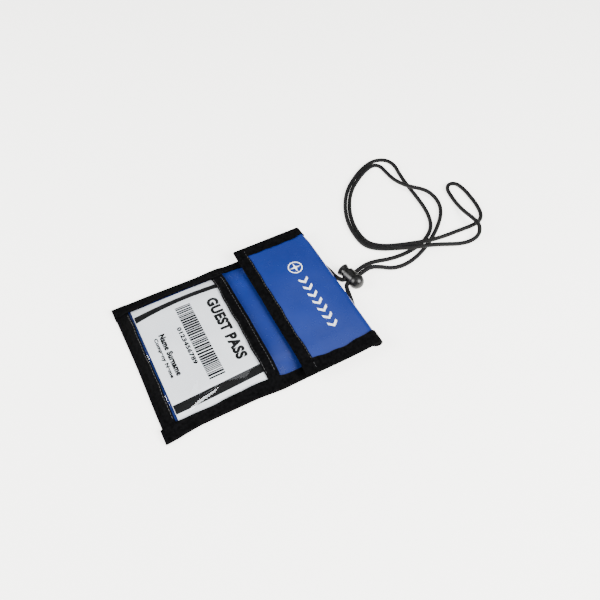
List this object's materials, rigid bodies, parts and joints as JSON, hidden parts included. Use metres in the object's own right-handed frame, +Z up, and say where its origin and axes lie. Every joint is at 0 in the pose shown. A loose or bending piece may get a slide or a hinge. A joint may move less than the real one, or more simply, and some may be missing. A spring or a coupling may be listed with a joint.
{
  "type": "neck pouch wallet",
  "caption": "Flat neck pouch with taped edges, a clear card window, a fold-over flap, and a braided neck cord doubled through a sprung ball cord lock.",
  "frame": {"origin": "middle of the closed pouch's outline, on the surface it lies on", "axes": "+X across the pouch, +Y from the bottom edge to the flap fold, +Z up through the pouch's thickness"},
  "size_m": [0.1853, 0.3405, 0.013],
  "materials": {
    "blue_vinyl": "smooth royal blue coated vinyl, soft sheen",
    "black_binding": "black woven binding tape",
    "clear_vinyl": "clear flexible vinyl",
    "card_stock": "white printed card",
    "hook_and_loop": "black hook and loop tape",
    "black_cord": "black braided round cord",
    "black_plastic": "black moulded plastic, satin",
    "spring_steel": "plain spring steel"
  },
  "bodies": {
    "pouch": {"back_panel": "blue_vinyl", "front_panel": "blue_vinyl", "window_sheet": "clear_vinyl", "window_top_tape": "black_binding", "pocket_hem_tape": "black_binding", "bottom_binding_tape": "black_binding", "left_binding_tape": "black_binding", "right_binding_tape": "black_binding", "fold_strip": "blue_vinyl", "left_fold_tape": "black_binding", "right_fold_tape": "black_binding", "loop_patch": "hook_and_loop", "left_cord_tab": "black_binding", "right_cord_tab": "black_binding", "neck_cord": "black_cord"},
    "flap": {"flap_panel": "blue_vinyl", "flap_front_tape": "black_binding", "flap_left_tape": "black_binding", "flap_right_tape": "black_binding", "hook_patch": "hook_and_loop"},
    "card": {"insert_card": "card_stock"},
    "cord_lock": {"lock_body": "black_plastic", "lock_spring": "spring_steel"},
    "plunger": {"lock_plunger": "black_plastic"}
  },
  "joints": [
    {"name": "flap_fold", "type": "hinge", "parent": "pouch", "child": "flap", "pos_m": [0, 0.08315, 0.00785], "axis": [-1, 0, 0], "range_deg": [0, 140], "deforming": ["fold_strip", "left_fold_tape", "right_fold_tape"]},
    {"name": "card_slide", "type": "slide", "parent": "pouch", "child": "card", "axis": [0, 1, 0], "range_m": [0, 0.03]},
    {"name": "lock_slide", "type": "slide", "parent": "pouch", "child": "cord_lock", "axis": [-0.225, 0.9744, 0], "range_m": [0, 0.01]},
    {"name": "plunger_press", "type": "slide", "parent": "cord_lock", "child": "plunger", "axis": [0.9744, 0.225, 0], "range_m": [0, 0.0028], "stiffness_N_per_m": 900, "springref_m": -0.003, "deforming": ["lock_spring"]}
  ]
}
